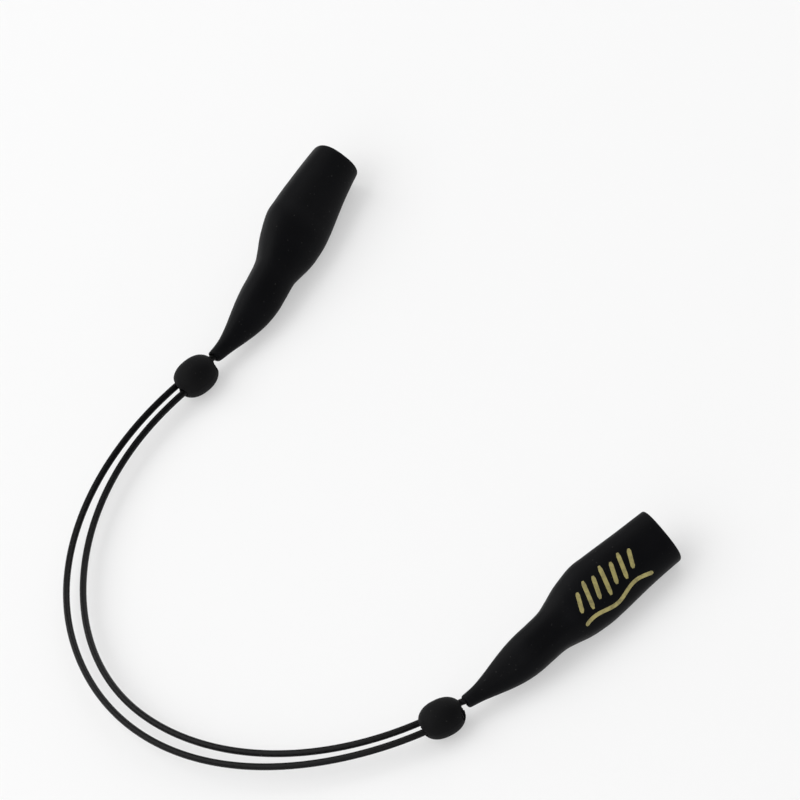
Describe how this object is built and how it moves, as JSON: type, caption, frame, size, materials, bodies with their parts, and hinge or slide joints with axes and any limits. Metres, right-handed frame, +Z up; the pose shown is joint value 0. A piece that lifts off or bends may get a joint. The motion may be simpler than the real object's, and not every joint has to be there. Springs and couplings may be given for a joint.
{
  "type": "eyeglass retainer strap",
  "caption": "Eyewear retainer: soft rubber sleeves grip the ends of glasses' temples and a springy coated-cable loop joins them, its length set by oval sliding beads.",
  "frame": {"origin": "On the table under the middle of the box of the sleeves, beads and their fittings, the cables left out.", "axes": "+X forwards, the way both sleeves open; +Y to the wearer's left, across the two sleeves; +Z up from the table."},
  "size_m": [0.123, 0.135, 0.0121],
  "materials": {
    "sleeve_rubber": "soft satin black elastomer with a faint moulded grain",
    "bead_rubber": "firmer matt charcoal rubber",
    "cable_coating": "smooth glossy black coating over wire rope",
    "plug_nylon": "natural grey moulded nylon",
    "bush_silicone": "smoke grey translucent silicone",
    "wire_steel": "bright stainless wire rope",
    "crimp_metal": "tinned, lightly pressed"
  },
  "bodies": {
    "left_side": {"left_temple_sleeve": "sleeve_rubber", "left_anchor_plug": "plug_nylon", "left_anchor_ferrule": "crimp_metal", "left_cable": "cable_coating", "left_cable_anchor_tail": "wire_steel", "left_cable_bead_tail": "wire_steel", "right_adjuster_bead": "bead_rubber", "right_grip_bush": "bush_silicone", "right_bead_crimp": "crimp_metal", "right_bead_plug": "bead_rubber"},
    "right_side": {"right_temple_sleeve": "sleeve_rubber", "right_anchor_plug": "plug_nylon", "right_anchor_ferrule": "crimp_metal", "right_cable": "cable_coating", "right_cable_anchor_tail": "wire_steel", "right_cable_bead_tail": "wire_steel", "left_adjuster_bead": "bead_rubber", "left_grip_bush": "bush_silicone", "left_bead_crimp": "crimp_metal", "left_bead_plug": "bead_rubber"}
  },
  "joints": [
    {"name": "loop_let_out", "type": "hinge", "parent": "left_side", "child": "right_side", "pos_m": [-0.0165, -0.0017, 0.00361], "axis": [0, 0, 1], "range_deg": [0, 60]}
  ]
}
